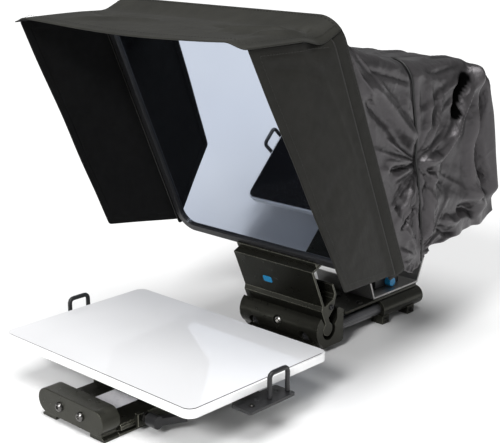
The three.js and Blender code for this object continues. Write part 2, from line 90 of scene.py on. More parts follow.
# ---- Node graphs --------------------------------------------------------------------------
class Finish:
    """A material's node graph round one Principled shader."""

    def __init__(self, name, **sockets):
        self.material = bpy.data.materials.new(name)
        self.material.use_nodes = True
        self.tree = self.material.node_tree
        self.shader = self.tree.nodes["Principled BSDF"]
        for socket, value in sockets.items():
            self.shader.inputs[socket.replace("_", " ")].default_value = value
        self.place = self.add("ShaderNodeTexCoord").outputs["Object"]

    def add(self, kind, inputs=None, **settings):
        node = self.tree.nodes.new(kind)
        for setting, value in settings.items():
            setattr(node, setting, value)
        for socket, value in (inputs or {}).items():
            if isinstance(value, bpy.types.NodeSocket):
                self.tree.links.new(value, node.inputs[socket])
            else:
                node.inputs[socket].default_value = value
        return node

    def into(self, socket, value):
        self.tree.links.new(value, self.shader.inputs[socket])

    def noise(self, scale, detail=3.0, rough=0.55, place=None):
        settings = {"Vector": place or self.place, "Scale": scale, "Detail": detail, "Roughness": rough}
        return self.add("ShaderNodeTexNoise", settings).outputs["Fac"]

    def math(self, operation, a, b=0.0, c=0.0):
        return self.add("ShaderNodeMath", {0: a, 1: b, 2: c}, operation=operation).outputs[0]

    def spread(self, value, low, high, start=0.3, end=0.7):
        """A texture's value between start and end, stretched to run from low to high."""
        settings = {"Value": value, "From Min": start, "From Max": end, "To Min": low, "To Max": high}
        return self.add("ShaderNodeMapRange", settings).outputs["Result"]

    def shades(self, value, dark, light, start=0.3, end=0.7):
        """A colour between two shades, by a texture's value."""
        ramp = self.add("ShaderNodeValToRGB", {"Fac": value})
        ramp.color_ramp.elements[0].position = start
        ramp.color_ramp.elements[1].position = end
        ramp.color_ramp.elements[0].color = (*dark, 1)
        ramp.color_ramp.elements[1].color = (*light, 1)
        return ramp.outputs["Color"]

    def bump(self, height, distance, strength=1.0):
        settings = {"Height": height, "Distance": distance, "Strength": strength}
        previous = self.shader.inputs["Normal"].links
        if previous:
            settings["Normal"] = previous[0].from_socket
        self.into("Normal", self.add("ShaderNodeBump", settings).outputs["Normal"])

    def weave(self, pitch, place=None):
        """Two crossing sets of threads, a pitch apart, as a height from 0 to 1."""
        waves = []
        for direction in ("X", "Y", "Z"):
            settings = {"Vector": place or self.place, "Scale": 1 / pitch * 0.159, "Distortion": 0.0}
            wave = self.add("ShaderNodeTexWave", settings, bands_direction=direction, wave_profile="SIN")
            waves.append(wave.outputs["Fac"])
        return self.math("MULTIPLY", self.math("MULTIPLY", waves[0], waves[1]), waves[2])


def grey(value, warm=0.0):
    return (value, value * 0.99, value * (1 - warm))


# ---- Materials ----------------------------------------------------------------------------
def anodised_finish(name, shade, roughness, warm=0.2):
    """Olive-black anodised aluminium: fine blasted grain and faint cloudiness."""
    f = Finish(name, Metallic=0.8)
    cloud = f.noise(38, 4)
    f.into("Base Color", f.shades(cloud, grey(shade * 0.86, warm), grey(shade * 1.14, warm)))
    f.into("Roughness", f.spread(f.noise(160, 5), roughness - 0.05, roughness + 0.07))
    f.bump(f.noise(2600, 2), 0.00012, 0.35)
    return f.material


def plastic_finish(name, colour, roughness, grain=1500):
    """Moulded plastic with a spark-eroded grain."""
    f = Finish(name)
    light = tuple(min(1, c * 1.25 + 0.002) for c in colour)
    f.into("Base Color", f.shades(f.noise(60, 3), colour, light))
    f.into("Roughness", f.spread(f.noise(220, 4), roughness - 0.06, roughness + 0.08))
    f.bump(f.noise(grain, 2), 0.00015, 0.4)
    return f.material


def steel_finish(name, dark, light):
    """Turned steel: fine grain and a little tarnish."""
    f = Finish(name, Metallic=1.0)
    f.into("Base Color", f.shades(f.noise(300, 3), dark, light))
    f.into("Roughness", f.spread(f.noise(900, 3), 0.22, 0.38))
    f.bump(f.noise(3500, 2), 0.00006, 0.3)
    return f.material


def carbon_finish():
    """Carbon fibre in a diagonal weave under clear resin, wound round each rod's own axis."""
    f = Finish("carbon_fibre", Coat_Weight=0.7, Coat_Roughness=0.12)
    local = f.add("ShaderNodeTexCoord").outputs["Generated"]
    split = f.add("ShaderNodeSeparateXYZ", {"Vector": local}).outputs
    across = f.math("SUBTRACT", split["X"], 0.5)
    upward = f.math("SUBTRACT", split["Z"], 0.5)
    angle = f.math("ARCTAN2", upward, across)
    turns = f.math("MULTIPLY", angle, 12 / (2 * math.pi))
    along = f.math("MULTIPLY", split["Y"], 48.0)
    rising = f.math("FRACT", f.math("ADD", along, turns))
    falling = f.math("FRACT", f.math("SUBTRACT", along, turns))
    one = f.math("GREATER_THAN", rising, 0.5)
    other = f.math("GREATER_THAN", falling, 0.5)
    tow = f.math("ABSOLUTE", f.math("SUBTRACT", one, other))
    threads = f.math("MULTIPLY", f.noise(900, 2), 0.35)
    shade = f.math("ADD", f.math("MULTIPLY", tow, 0.65), threads)
    f.into("Base Color", f.shades(shade, (0.012, 0.012, 0.013), (0.12, 0.12, 0.13), 0.1, 0.95))
    f.into("Roughness", f.spread(shade, 0.5, 0.32, 0, 1))
    f.bump(tow, 0.0001, 0.4)
    return f.material


def glass_finish():
    """Beamsplitter coating: a cool mirror to anyone on the bright side of it."""
    f = Finish("coated_glass", Metallic=1.0, Alpha=0.96)
    f.into("Base Color", f.shades(f.noise(5, 2), (0.50, 0.55, 0.65), (0.56, 0.61, 0.70)))
    f.into("Roughness", f.spread(f.noise(40, 4), 0.012, 0.03))
    return f.material


def screen_finish():
    """The tablet's screen: black glass, with a painted white glare mixed in by view angle that turns it
    white at low angles.
    """
    f = Finish("tablet_screen", Roughness=0.1, Specular_IOR_Level=0.15)
    f.into("Base Color", f.shades(f.noise(8, 2), (0.003, 0.003, 0.004), (0.006, 0.006, 0.007)))
    # painted reflection: a white shader, mixed in by facing angle, stands in for the studio's glare at low
    # angles
    painted_glare = f.add("ShaderNodeBsdfPrincipled", {"Roughness": 0.05, "IOR": 1.6})
    glare_shades = f.shades(f.noise(7, 2), (0.78, 0.78, 0.79), (0.82, 0.82, 0.83))
    f.tree.links.new(glare_shades, painted_glare.inputs["Base Color"])
    facing = f.add("ShaderNodeLayerWeight", {"Blend": 0.5}).outputs["Facing"]
    low_angle = f.spread(facing, 0.0, 1.0, 0.42, 0.54)
    mix = f.add("ShaderNodeMixShader", {0: low_angle, 1: f.shader.outputs[0], 2: painted_glare.outputs[0]})
    f.tree.links.new(mix.outputs[0], f.tree.nodes["Material Output"].inputs["Surface"])
    return f.material


def label_finish():
    """Satin paper label with a faint fibre."""
    f = Finish("label_paper")
    f.into("Base Color", f.shades(f.noise(400, 4), (0.76, 0.75, 0.79), (0.86, 0.85, 0.88)))
    f.into("Roughness", f.spread(f.noise(200, 3), 0.5, 0.65))
    f.bump(f.noise(1800, 3), 0.00005, 0.3)
    return f.material


def cloth_finish(name, dark, light, roughness, pitch=0.6 * MM, sheen=0.06):
    """Coated polyester cloth: a plain weave, a little slub and handling marks."""
    f = Finish(name, Sheen_Weight=sheen, Sheen_Roughness=0.4, Specular_IOR_Level=0.25)
    slub = f.noise(28, 5, 0.6)
    f.into("Base Color", f.shades(slub, dark, light))
    f.into("Roughness", f.spread(f.noise(90, 4), roughness - 0.06, roughness + 0.06))
    f.bump(f.weave(pitch), 0.0002, 0.4)
    f.bump(f.noise(60, 4), 0.0007, 0.35)
    return f.material


def nylon_finish():
    """Thin shiny taffeta: tight weave and small soft creases, with painted shade in its hollows, painted
    light on its crests and painted black shade in the deep pleat.
    """
    f = Finish("nylon", Specular_Tint=(1.0, 0.95, 0.99, 1))
    # painted shade and highlight: Pointiness darkens hollows and creases and lightens crests; the noise
    # adds uneven tone
    pointed = f.add("ShaderNodeNewGeometry").outputs["Pointiness"]
    crease_shade_and_tone = f.math("ADD", f.spread(pointed, 0.0, 1.0, 0.46, 0.54), f.spread(f.noise(22, 5), -0.15, 0.15))
    cloth = f.shades(crease_shade_and_tone, (0.0015, 0.0014, 0.0013), (0.030, 0.028, 0.029), 0.25, 1.0)
    # painted shade: black colour and no gloss where the deep pleat folds in, in place of its shadow
    painted_pleat_shade = f.add("ShaderNodeAttribute", attribute_name="painted_pleat_shade").outputs["Fac"]
    pleat_shaded_colour = f.add("ShaderNodeMix", {0: painted_pleat_shade, 6: cloth, 7: (0.001, 0.001, 0.001, 1)}, data_type="RGBA")
    f.into("Base Color", pleat_shaded_colour.outputs[2])
    f.into("Specular IOR Level", f.spread(painted_pleat_shade, 0.85, 0.0, 0.0, 1.0))
    f.into("Roughness", f.spread(f.noise(70, 4), 0.35, 0.44))
    crease = f.math("ABSOLUTE", f.math("SUBTRACT", f.noise(20, 3, 0.5), 0.5))
    f.bump(f.spread(crease, 1.0, 0.0, 0.0, 0.09), 0.0018, 0.35)
    f.bump(f.noise(75, 6, 0.6), 0.0018, 0.45)
    f.bump(f.weave(0.0005), 0.0001, 0.2)
    return f.material


LOOKS = {
    "anodised": anodised_finish("anodised", 0.044, 0.31),
    # lighter copy for bevelled edges: partly worn metal, partly a painted highlight
    "anodised_edge_wear_and_highlight": anodised_finish("anodised_edge_wear_and_highlight", 0.15, 0.26),
    "black_plastic": plastic_finish("black_plastic", (0.010, 0.010, 0.011), 0.42),
    "bare_alloy": anodised_finish("bare_alloy", 0.36, 0.34, 0.03),
    "steel": steel_finish("steel", (0.42, 0.41, 0.39), (0.62, 0.61, 0.58)),
    "black_steel": steel_finish("black_steel", (0.030, 0.029, 0.028), (0.055, 0.053, 0.05)),
    "worn_steel": steel_finish("worn_steel", (0.12, 0.115, 0.11), (0.20, 0.195, 0.19)),
    "carbon": carbon_finish(),
    "glass": glass_finish(),
    "screen": screen_finish(),
    "tablet_shell": plastic_finish("tablet_shell", (0.90, 0.90, 0.90), 0.35, 2600),
    "blue": plastic_finish("blue_plastic", (0.012, 0.25, 0.52), 0.38),
    "label": label_finish(),
    "outer_cloth": cloth_finish("outer_cloth", (0.016, 0.0158, 0.0128), (0.024, 0.0236, 0.0193), 0.62),
    # painted shade: a darker copy of the outer cloth for the side flaps and band, standing in for their
    # dimmer light
    "shaded_side_cloth": cloth_finish("shaded_side_cloth", (0.0080, 0.0077, 0.0058), (0.0115, 0.0110, 0.0085), 0.74),
    # painted shade: a near-black copy of the cloth for inner faces, standing in for the hood's unlit
    # inside
    "shaded_inner_cloth": cloth_finish("shaded_inner_cloth", (0.0025, 0.0025, 0.0027), (0.004, 0.004, 0.004), 0.95,
                                pitch=0.5 * MM, sheen=0.0),
    "nylon": nylon_finish(),
    "thread": plastic_finish("thread", (0.014, 0.0135, 0.012), 0.85, 3000),
    "piping": plastic_finish("piping", (0.006, 0.006, 0.006), 0.55, 2600),
}

NODE_LOOKS = {
    "anodised": ["rail", "front_end_block", "hinge_base", "glass_holder", "frame_channel", "tray_carriage",
                 "tray_riser", "tray_cross_bar", "tablet_rest_plate", "rod_clamp", "camera_base_plate"],
    "black_plastic": ["glass_frame", "lock_lever", "quick_release_base", "quick_release_plate"],
    "bare_alloy": ["camera_tray"],
    "steel": ["tilt_lock_screw", "camera_screw"],
    "glass": ["beamsplitter_glass"],
    "screen": ["tablet_screen"],
    "tablet_shell": ["tablet_body"],
    "blue": ["release_knob", "badge"],
    "label": ["rail_label"],
    "carbon": ["rod_left", "rod_right"],
}
NODE_LOOKS["worn_steel"] = [name for name in NODES if name.startswith("end_screw")]
NODE_LOOKS["black_steel"] = [name for name in NODES if name.startswith(
    ("plate_screw", "rod_clamp_screw", "clamp_screw", "lever_stud"))]
NODE_LOOKS["black_plastic"] += [name for name in NODES if name.startswith(
    ("rod_bolt", "holder_screw", "clamp_plate", "clamp_hoop"))]
SOFT_NODES = ("hood_band", "rear_shroud", "front_flap_left", "front_flap_right", "top_visor")
UNBEVELLED = ("rail_label",)


def finish_node(name, look):
    """A CAD node's own material, and softened edges that catch the light; on anodised parts the edges are
    painted lighter, partly as wear and partly as a painted highlight.
    """
    node = NODES[name]
    node.data.materials.clear()
    node.data.materials.append(LOOKS[look])
    # anodised bevels take the lighter edge copy: wear and a painted highlight
    edge = LOOKS["anodised_edge_wear_and_highlight"] if look == "anodised" else LOOKS[look]
    node.data.materials.append(edge)
    for polygon in node.data.polygons:
        polygon.material_index = 0
        polygon.use_smooth = True
    if "custom_normal" in node.data.attributes:
        node.data.attributes.remove(node.data.attributes["custom_normal"])
    weld = node.modifiers.new("weld", "WELD")
    weld.merge_threshold = 0.00002
    flat = node.modifiers.new("flat", "DECIMATE")
    flat.decimate_type = "DISSOLVE"
    flat.angle_limit = math.radians(1)
    if name not in UNBEVELLED:
        low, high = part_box(name)
        bevel = node.modifiers.new("edges", "BEVEL")
        bevel.width = min(0.0006, min(high - low) * 0.12)
        bevel.segments = 2
        bevel.limit_method = "ANGLE"
        bevel.angle_limit = math.radians(28)
        bevel.material = 1
    normals = node.modifiers.new("normals", "WEIGHTED_NORMAL")
    normals.keep_sharp = True


for look, names in NODE_LOOKS.items():
    for name in names:
        finish_node(name, look)

# ---- The hood's own directions ------------------------------------------------------------
LEAN = math.radians(23.3)  # the glass leans this far from the vertical
GLASS_THICK = 3 * MM


def glass_foot():
    """The middle of the glass's lower edge."""
    low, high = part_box("beamsplitter_glass")
    return Vector((0, high.y - GLASS_THICK / 2 * math.cos(LEAN), low.z + GLASS_THICK / 2 * math.sin(LEAN)))


FOOT = glass_foot()


def hood_point(x, away, up):
    """A point across, away from the reader and up along the leaning glass."""
    y = away * math.cos(LEAN) - up * math.sin(LEAN)
    z = away * math.sin(LEAN) + up * math.cos(LEAN)
    return Vector((x, FOOT.y + y, FOOT.z + z))


# ---- Cloth --------------------------------------------------------------------------------
def grid_mesh(name, points, materials):
    """A sheet through a grid of points (rows, columns, 3)."""
    rows, columns = points.shape[:2]
    mesh = bpy.data.meshes.new(name)
    index = np.arange(rows * columns).reshape(rows, columns)
    quads = np.stack([index[:-1, :-1], index[:-1, 1:], index[1:, 1:], index[1:, :-1]], -1).reshape(-1, 4)
    mesh.from_pydata([tuple(p) for p in points.reshape(-1, 3)], [], quads.tolist())
    for material in materials:
        mesh.materials.append(material)
    for polygon in mesh.polygons:
        polygon.use_smooth = True
    piece = bpy.data.objects.new(name, mesh)
    bpy.context.collection.objects.link(piece)
    return piece


def settle(piece, hold, frames, stiffness=12.0, bending=0.4, mass=0.12):
    """Lets a sheet hang under gravity. hold is how firmly each point is kept, from 0 to 1."""
    scene = bpy.context.scene
    group = piece.vertex_groups.new(name="hold")
    for index, weight in enumerate(hold.ravel()):
        group.add([index], float(weight), "REPLACE")
    modifier = piece.modifiers.new("cloth", "CLOTH")
    settings = modifier.settings
    settings.quality = 5
    settings.mass = mass
    settings.tension_stiffness = settings.compression_stiffness = stiffness
    settings.shear_stiffness = stiffness * 0.4
    settings.bending_stiffness = bending
    settings.air_damping = 3.0
    settings.vertex_group_mass = "hold"
    modifier.collision_settings.use_collision = False
    modifier.collision_settings.use_self_collision = False
    modifier.point_cache.frame_start = 1
    modifier.point_cache.frame_end = frames
    scene.frame_start, scene.frame_end = 1, frames
    for number in range(1, frames + 1):
        scene.frame_set(number)
    bpy.context.view_layer.objects.active = piece
    bpy.ops.object.modifier_apply(modifier=modifier.name)
    scene.frame_set(1)
    piece.vertex_groups.remove(piece.vertex_groups["hold"])


def points_of(piece, shape):
    flat = np.zeros(len(piece.data.vertices) * 3)
    piece.data.vertices.foreach_get("co", flat)
    return flat.reshape(*shape, 3)


def thicken(piece, thickness, thin, hem_rows, inner=0, smooth=True):
    """Smooths a sheet and gives it two faces, thicker where the hem is doubled over."""
    group = piece.vertex_groups.new(name="hem")
    for index, weight in enumerate(hem_rows.ravel()):
        group.add([index], float(weight), "REPLACE")
    if smooth:
        piece.modifiers.new("smooth", "SUBSURF").levels = 1
    shell = piece.modifiers.new("shell", "SOLIDIFY")
    shell.thickness = thickness
    shell.offset = -1
    shell.vertex_group = "hem"
    shell.thickness_vertex_group = thin
    shell.use_even_offset = False
    shell.material_offset = inner
    bpy.context.view_layer.objects.active = piece
    for modifier in [m.name for m in piece.modifiers]:
        bpy.ops.object.modifier_apply(modifier=modifier)


def lerp(a, b, t):
    return a + (b - a) * t


def smoothstep(t):
    t = np.clip(t, 0, 1)
    return t * t * (3 - 2 * t)


def waviness(points, scale, seed):
    """Smooth uneven values from -1 to 1 at each point, the same on every run."""
    shift = Vector((seed * 7.3, seed * 3.1, seed * 5.7))
    flat = [noise.noise(Vector(p) * scale + shift) for p in points.reshape(-1, 3)]
    return np.array(flat).reshape(points.shape[:-1])


def fold(across, up, line, width, height, taper=0.25):
    """The height of one fold along a line of points: full in its middle, fading at its ends."""
    line = np.array(line, float)
    lengths = np.linalg.norm(np.diff(line, axis=0), axis=1)
    starts = np.concatenate([[0], np.cumsum(lengths)])
    best = np.full(across.shape, 1e9)
    along = np.zeros(across.shape)
    for start, end, length, begun in zip(line[:-1], line[1:], lengths, starts):
        dx, dy = (end - start) / length
        t = np.clip((across - start[0]) * dx + (up - start[1]) * dy, 0, length)
        gap = np.hypot(across - start[0] - t * dx, up - start[1] - t * dy)
        nearer = gap < best
        best = np.where(nearer, gap, best)
        along = np.where(nearer, begun + t, along)
    share = along / starts[-1]
    ends = smoothstep(share / taper) * smoothstep((1 - share) / taper) if taper else 1
    rounding = 0.25 * width
    crest = np.clip(1 - (np.hypot(best, rounding) - rounding) / (2 * width), 0, 1) ** 1.3
    return height * crest * ends


def ridges(points, scale, seed):
    """Uneven sharp creases, 0 to 1, wandering through space."""
    return np.clip(1 - 3.5 * np.abs(waviness(points, scale, seed)), 0, 1) ** 1.5


def star(back, up, centre, count, near, far, seed):
    """Creases that spread from a point where the cloth is caught, 0 to 1."""
    away, above = back - centre[0] * SHROUD_SPAN.y, up - centre[1] * SHROUD_SPAN.z
    reach = np.hypot(away, above)
    round_it = np.stack([away, above], -1) / np.maximum(reach, 1e-6)[..., None] * count
    place = np.concatenate([round_it, reach[..., None] * 5], -1)
    return ridges(place, 1.0, seed) * smoothstep(reach / near) * np.exp(-((reach / far) ** 2))


def grid_normals(points):
    down, across = np.gradient(points, axis=(0, 1))
    normal = np.cross(down, across)
    return normal / np.maximum(np.linalg.norm(normal, axis=-1, keepdims=True), 1e-12)


def at_grid(points, row, column):
    """The point and outward direction on a grid between its rows and columns."""
    rows, columns = points.shape[:2]
    r, c = min(int(row), rows - 2), min(int(column), columns - 2)
    a, b = row - r, column - c
    corner = points[r:r + 2, c:c + 2]
    place = lerp(lerp(corner[0, 0], corner[0, 1], b), lerp(corner[1, 0], corner[1, 1], b), a)
    normal = np.cross(corner[1, 0] - corner[0, 0], corner[0, 1] - corner[0, 0])
    return place, normal / np.linalg.norm(normal)


def stitch_mesh(name, rows_of_stitches, length=2.6 * MM, radius=0.32 * MM):
    """Thread lying along lines of (place, normal, direction), as short rounded stitches."""
    vertices, faces = [], []
    ring = [(math.cos(a), math.sin(a)) for a in np.linspace(0, 2 * math.pi, 6, endpoint=False)]
    for place, normal, direction in rows_of_stitches:
        side = np.cross(normal, direction)
        first = len(vertices)
        for share, size in ((-0.5, 0.35), (-0.3, 1.0), (0.3, 1.0), (0.5, 0.35)):
            middle = place + direction * (length * share) + normal * radius * (0.9 - 2 * abs(share) ** 2)
            for c, s in ring:
                vertices.append(tuple(middle + (side * c + normal * s * 0.7) * radius * size))
        for band in range(3):
            for k in range(6):
                a, b = first + band * 6 + k, first + band * 6 + (k + 1) % 6
                faces.append((a, b, b + 6, a + 6))
        faces.append(tuple(first + k for k in reversed(range(6))))
        faces.append(tuple(first + 18 + k for k in range(6)))
    mesh = bpy.data.meshes.new(name)
    mesh.from_pydata(vertices, [], faces)
    mesh.materials.append(LOOKS["thread"])
    for polygon in mesh.polygons:
        polygon.use_smooth = True
    piece = bpy.data.objects.new(name, mesh)
    bpy.context.collection.objects.link(piece)
    return piece


def stitches_along(points, path, pitch=4.2 * MM):
    """Stitches a pitch apart along a path of (row, column) places on a grid."""
    places = [at_grid(points, row, column) for row, column in path]
    line = np.array([place for place, _ in places])
    normals = np.array([normal for _, normal in places])
    along = np.concatenate([[0], np.cumsum(np.linalg.norm(np.diff(line, axis=0), axis=1))])
    found = []
    for distance in np.arange(pitch / 2, along[-1] - pitch / 2, pitch):
        place = np.array([np.interp(distance, along, line[:, k]) for k in range(3)])
        ahead = np.array([np.interp(distance + pitch / 4, along, line[:, k]) for k in range(3)])
        normal = np.array([np.interp(distance, along, normals[:, k]) for k in range(3)])
        normal /= np.linalg.norm(normal)
        direction = (ahead - place) / np.linalg.norm(ahead - place)
        found.append((place, normal, direction))
    return found


def straight(start, end, count):
    return [tuple(lerp(np.array(start, float), np.array(end, float), t)) for t in np.linspace(0, 1, count)]


# ---- Hood: the sewn parts -----------------------------------------------------------------
# Places on the hood are (across, away from the reader, up the glass).
HEM = 9 * MM
BAND = {"half": 168.4 * MM, "low": -3 * MM, "high": 303.8 * MM, "corner": 25 * MM,
        "front": -5 * MM, "rear": 23 * MM}
CLOTH = 1.4 * MM  # how far a lapped layer lies outside the band
HINGE_AWAY = -8 * MM
LAP_AWAY = 4.5 * MM  # the flaps are sewn to the band along this line
CORNER_UP = 290 * MM  # the seams where the side cloth meets the top cloth
VISOR_DEPTH = 112 * MM


def hem_lines(length, count):
    """Even steps from 0 to 1 along a length, with a closer pair at each hem's edge."""
    share = HEM / length
    inner = np.linspace(share + 0.006, 1 - share - 0.006, count)
    return np.concatenate([[0, share * 0.5, share], inner, [1 - share, 1 - share * 0.5, 1]])


def hem_weights(rows, columns, hem_row, hem_column):
    """1 on a sheet's doubled hems and 0 inside them."""
    r = np.minimum(rows, 1 - rows)[:, None] <= hem_row + 1e-6
    c = np.minimum(columns, 1 - columns)[None, :] <= hem_column + 1e-6
    return (r | c).astype(float)


def press(piece, axis, heights):
    """Presses lasting creases into a sheet, along one axis; returns its points."""
    points = points_of(piece, heights.shape)
    points[..., axis] += heights
    piece.data.vertices.foreach_set("co", points.ravel())
    piece.data.update()
    return points


def hood_points(local):
    return np.array([hood_point(*p) for p in local.reshape(-1, 3)]).reshape(local.shape)


def hem_loop(rows, columns, inset=2.0, first=2.0):
    """The path of a hem's stitches round a grid, from one end of its first row to the other."""
    last_row, last_column = len(rows) - 1 - inset, len(columns) - 1 - inset
    corners = [(first, inset), (last_row, inset), (last_row, last_column), (first, last_column)]
    return [place for a, b in zip(corners, corners[1:]) for place in straight(a, b, 90)]


def both_faces(stitches, thickness):
    """The same stitches on a sheet's outer and inner face."""
    return stitches + [(place - normal * thickness, -normal, along) for place, normal, along in stitches]


def side_flap(side, sign, low_corner, high_corner, creases):
    """A board-stiffened flap: lapped on the band behind its hinge, its low front corner turned out."""
    rows, columns = hem_lines(0.112, 32), hem_lines(0.29, 80)
    u, v = np.meshgrid(rows, columns, indexing="ij")
    outer = BAND["half"] + CLOTH
    rear = lerp(np.array((outer, LAP_AWAY, -2 * MM)), np.array((outer, LAP_AWAY, CORNER_UP)), v[..., None])
    front = lerp(np.array(low_corner), np.array(high_corner), v[..., None])
    local = lerp(rear, front, u[..., None])
    hinge_share = (LAP_AWAY - HINGE_AWAY) / 0.105
    swing = np.clip((u - hinge_share) / (1 - hinge_share), 0, 1)
    local[..., 0] = lerp(outer, front[..., 0], swing)
    round_start = BAND["high"] - BAND["corner"]
    over = np.clip(local[..., 2] - round_start, 0, BAND["corner"] * 0.9)
    inward = (BAND["corner"] + CLOTH) * (1 - np.sqrt(1 - (over / (BAND["corner"] + CLOTH)) ** 2))
    local[..., 0] -= inward * smoothstep(1 - swing * 3)
    bow = np.sin(np.pi * u) * np.sin(np.pi * v)
    free = smoothstep(swing * 3)
    local[..., 0] += 1.6 * MM * bow + 1.0 * MM * waviness(local, 9, 2 + sign) * free
    local[..., 1] += 1.0 * MM * waviness(local, 14, 5) * free
    local[..., 0] *= sign
    points = hood_points(local)
    hold = np.maximum(0.6, 1 - swing * 6)
    if sign < 0:
        points, hold = points[:, ::-1], hold[:, ::-1]
    flap = grid_mesh(f"flap_cloth_{side}", points, [LOOKS["shaded_side_cloth"], LOOKS["shaded_inner_cloth"]])
    settle(flap, hold, 12)
    pressed = sum(fold(u, v, line, width, height) for line, width, height in creases)
    points = press(flap, 0, sign * (pressed if sign > 0 else pressed[:, ::-1]))
    thicken(flap, 1.3 * MM, 0.7, hem_weights(rows, columns, 0.081, 0.0315), 1)
    rear_seam = straight((1, 0.5), (1, len(columns) - 1.5), 90)
    outline = stitches_along(points, hem_loop(rows, columns))
    stitches = stitch_mesh(f"flap_stitches_{side}",
                           both_faces(outline, 1.4 * MM) + stitches_along(points, rear_seam))
    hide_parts(f"front_flap_{side}")
    for piece in (flap, stitches):
        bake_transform(piece)


# Faint creases of the flaps: (share of the depth, share of the height), width, height.
RIGHT_CREASES = [
    ([(0.95, 0.32), (0.55, 0.45), (0.12, 0.52)], 0.02, -0.7 * MM),
    ([(0.8, 0.1), (0.45, 0.22), (0.1, 0.3)], 0.02, 0.8 * MM),
    ([(0.3, 0.95), (0.2, 0.7), (0.12, 0.45)], 0.03, 0.7 * MM),
    ([(0.16, 0.885), (0.45, 0.935), (0.92, 0.96)], 0.010, 2.0 * MM),
    ([(0.14, 0.84), (0.5, 0.90), (0.95, 0.93)], 0.010, -1.6 * MM),
    ([(0.2, 0.80), (0.5, 0.86), (0.8, 0.88)], 0.014, 1.2 * MM),
]
LEFT_CREASES = [([(0.9, 0.6), (0.5, 0.5), (0.1, 0.55)], 0.025, -0.6 * MM)]
side_flap("right", 1, (0.189, -0.094, 0.055), (0.170, -0.1058, 0.3393), RIGHT_CREASES)
side_flap("left", -1, (0.181, -0.094, 0.055), (0.170, -0.1058, 0.3393), LEFT_CREASES)


def top_visor():
    """The top cloth: over the band and its round corners, then level and sagging between the flaps."""
    lap = BAND["rear"] - 1 * MM - HINGE_AWAY
    total = lap + VISOR_DEPTH
    lap_rows = [0, 0.5, 4.5, 9, 15, 21, 27]
    rows = np.concatenate([lap_rows, 31 + hem_lines(0.112, 30)[1:] * 112]) * MM * total / 0.143
    columns = hem_lines(0.348, 110)
    d, v = np.meshgrid(rows, columns, indexing="ij")
    radius = BAND["corner"] + CLOTH
    flat = BAND["half"] - BAND["corner"]
    turn = math.acos((CORNER_UP - BAND["high"] + BAND["corner"]) / radius)
    s = (2 * v - 1) * (flat + radius * turn)
    angle = np.clip((np.abs(s) - flat) / radius, 0, None)
    rear_x = np.minimum(np.abs(s), flat) + radius * np.sin(angle)
    rear_drop = radius * (1 - np.cos(angle))
    front_x = np.abs(s) * (BAND["half"] + 4.2 * MM) / (flat + radius * turn)
    front_drop = 7.5 * MM * smoothstep((np.abs(s) - 0.150) / 0.024)
    beyond = np.clip(d - lap, 0, None)
    change = smoothstep(beyond / 0.035)
    x = lerp(rear_x, front_x, change) * np.sign(s)
    drop = lerp(rear_drop, front_drop, change)
    away = BAND["rear"] - 1 * MM - np.minimum(d, lap)
    points = hood_points(np.stack([x, away, BAND["high"] + CLOTH - drop], -1))
    points[..., 1] -= beyond
    share = beyond / VISOR_DEPTH
    across = np.abs(s) / (flat + radius * turn)
    points[..., 2] -= 6.0 * MM * share ** 1.5 * (1 - across ** 2)
    points[..., 2] += 1.2 * MM * waviness(points, 11, 9) * smoothstep(d / 0.05)
    visor = grid_mesh("visor_cloth", points[:, ::-1], [LOOKS["outer_cloth"], LOOKS["shaded_inner_cloth"]])
    hold = np.maximum.reduce([np.full(d.shape, 0.5), 1 - beyond * 60, smoothstep((across - 0.9) / 0.08)])
    settle(visor, hold[:, ::-1], 14)
    pressed = sum(fold(d, s, line, width, height) for line, width, height in TOP_FOLDS)
    points = press(visor, 2, pressed[:, ::-1])
    thicken(visor, 1.3 * MM, 0.7, hem_weights(rows / rows[-1], columns, 0.063, 0.0262), 1)
    outline = stitches_along(points, hem_loop(rows, columns))
    stitches = stitch_mesh("visor_stitches", both_faces(outline, 1.4 * MM))
    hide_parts("top_visor")
    for piece in (visor, stitches):
        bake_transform(piece)


# Folds of the top cloth: places (from its rear edge, across), width and height in metres.
TOP_FOLDS = [
    ([(0.031, -0.14), (0.033, 0.0), (0.031, 0.145)], 2.5 * MM, -1.6 * MM),
    ([(0.044, 0.150), (0.064, 0.118), (0.084, 0.080)], 5 * MM, 5 * MM),
    ([(0.044, 0.154), (0.070, 0.136), (0.096, 0.108)], 4 * MM, -4 * MM),
    ([(0.040, 0.158), (0.068, 0.152), (0.096, 0.134)], 4 * MM, 4 * MM),
    ([(0.040, 0.146), (0.055, 0.105), (0.065, 0.050)], 4 * MM, -4 * MM),
    ([(0.12, -0.12), (0.08, -0.06), (0.07, 0.0)], 6 * MM, 3 * MM),
    ([(0.05, -0.15), (0.07, -0.10), (0.06, -0.04)], 5 * MM, -2.4 * MM),
    ([(0.030, 0.143), (0.038, 0.154)], 4 * MM, -8 * MM),
]
top_visor()


def arch(half, low, high, corner, side_count, corner_count, top_count):
    """Places (across, up) over an arch from its right foot to its left foot."""
    up = [(half, z) for z in np.linspace(low, high - corner, side_count, endpoint=False)]
    for angle in np.linspace(0, math.pi / 2, corner_count, endpoint=False):
        up.append((half - corner + corner * math.cos(angle), high - corner + corner * math.sin(angle)))
    top = [(x, high) for x in np.linspace(half - corner, 0, top_count // 2, endpoint=False)]
    right = up + top
    return np.array(right + [(0, high)] + [(-x, z) for x, z in reversed(right)])


